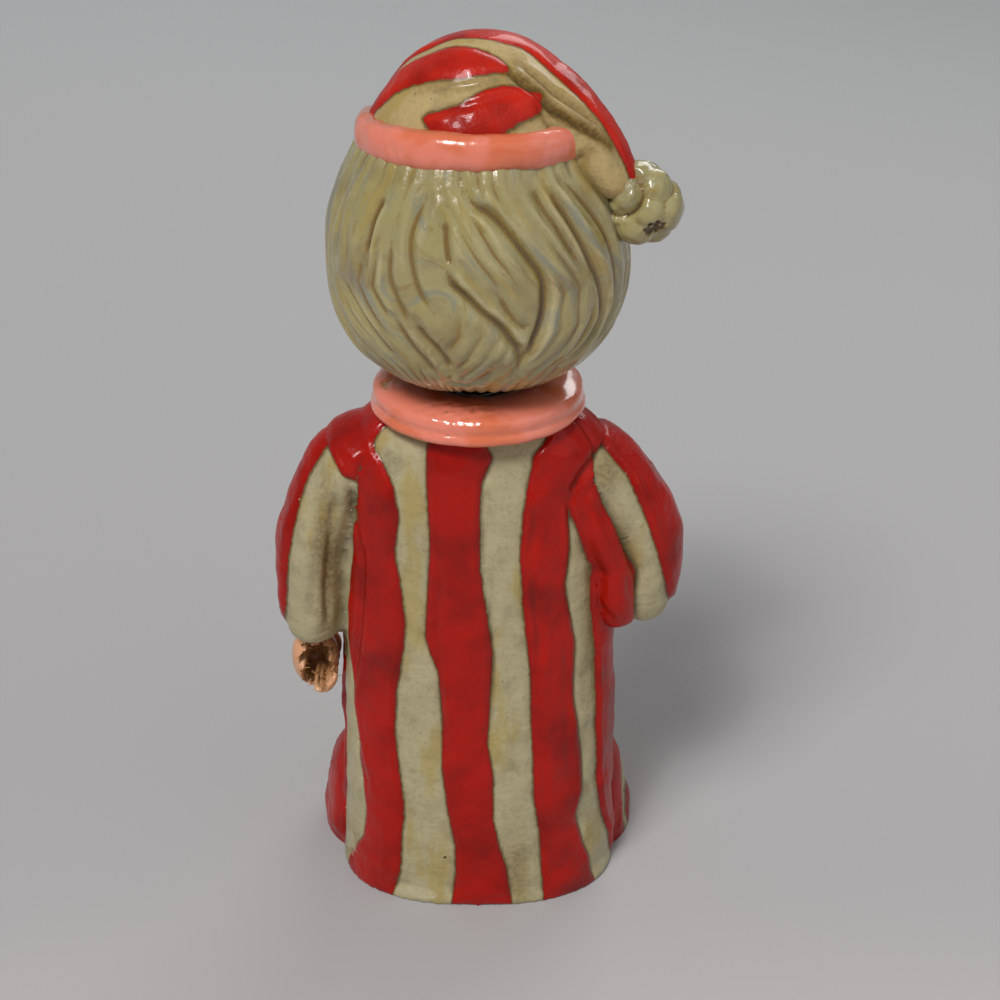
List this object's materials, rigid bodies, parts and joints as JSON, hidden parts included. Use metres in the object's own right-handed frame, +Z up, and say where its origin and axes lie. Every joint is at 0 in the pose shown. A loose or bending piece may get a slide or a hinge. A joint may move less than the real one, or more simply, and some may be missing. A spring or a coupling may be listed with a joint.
{
  "type": "santa claus figure",
  "caption": "Papier-mache Santa Claus nodder in a striped nightshirt and nightcap, with a hollow head that nods and sways on a coil spring.",
  "frame": {"origin": "on the standing surface, under the neck's axis, at the middle of the base", "axes": "+Z up along the neck's axis, the figure faces -Y, its left side is +X"},
  "size_m": [0.082, 0.0628, 0.1802],
  "materials": {
    "gown": "papier-mache, gloss lacquered in red and cream stripes",
    "cap": "papier-mache, gloss lacquered in red and cream",
    "hair": "papier-mache, yellowed cream lacquer with brown wash in the grooves",
    "pink_trim": "papier-mache, salmon pink gloss lacquer",
    "flesh": "papier-mache, flesh coloured lacquer",
    "slipper": "papier-mache, dark red lacquer",
    "board": "plain grey-brown cardboard",
    "wood": "bare turned wood",
    "steel": "bare drawn wire"
  },
  "bodies": {
    "figure": {"robe_back": "gown", "robe_front": "gown", "collar": "pink_trim", "left_hand": "flesh", "right_hand": "flesh", "left_slipper": "slipper", "right_slipper": "slipper", "base_disc": "board"},
    "neck_mount": {"neck_plug": "wood", "neck_staple_1": "steel", "neck_staple_2": "steel"},
    "spring": {"neck_spring": "steel"},
    "head": {"head_disc": "wood", "head_staple_1": "steel", "head_staple_2": "steel", "head_back": "hair", "head_front": "flesh", "nightcap": "cap", "cap_brim": "pink_trim", "pompom": "hair"}
  },
  "joints": [
    {"name": "head_turn", "type": "hinge", "parent": "figure", "child": "neck_mount", "pos_m": [0, 0, 0.12035], "axis": [0, 0, 1], "range_deg": [-15, 15], "stiffness_Nm_per_rad": 0.02},
    {"name": "head_nod", "type": "hinge", "parent": "neck_mount", "child": "spring", "pos_m": [0, 0, 0.12035], "axis": [1, 0, 0], "range_deg": [-7, 7], "stiffness_Nm_per_rad": 0.05, "deforming": ["neck_spring"]},
    {"name": "head_sway", "type": "hinge", "parent": "spring", "child": "head", "pos_m": [0, 0, 0.12035], "axis": [0, 1, 0], "range_deg": [-5, 5], "stiffness_Nm_per_rad": 0.05, "deforming": ["neck_spring"]}
  ]
}
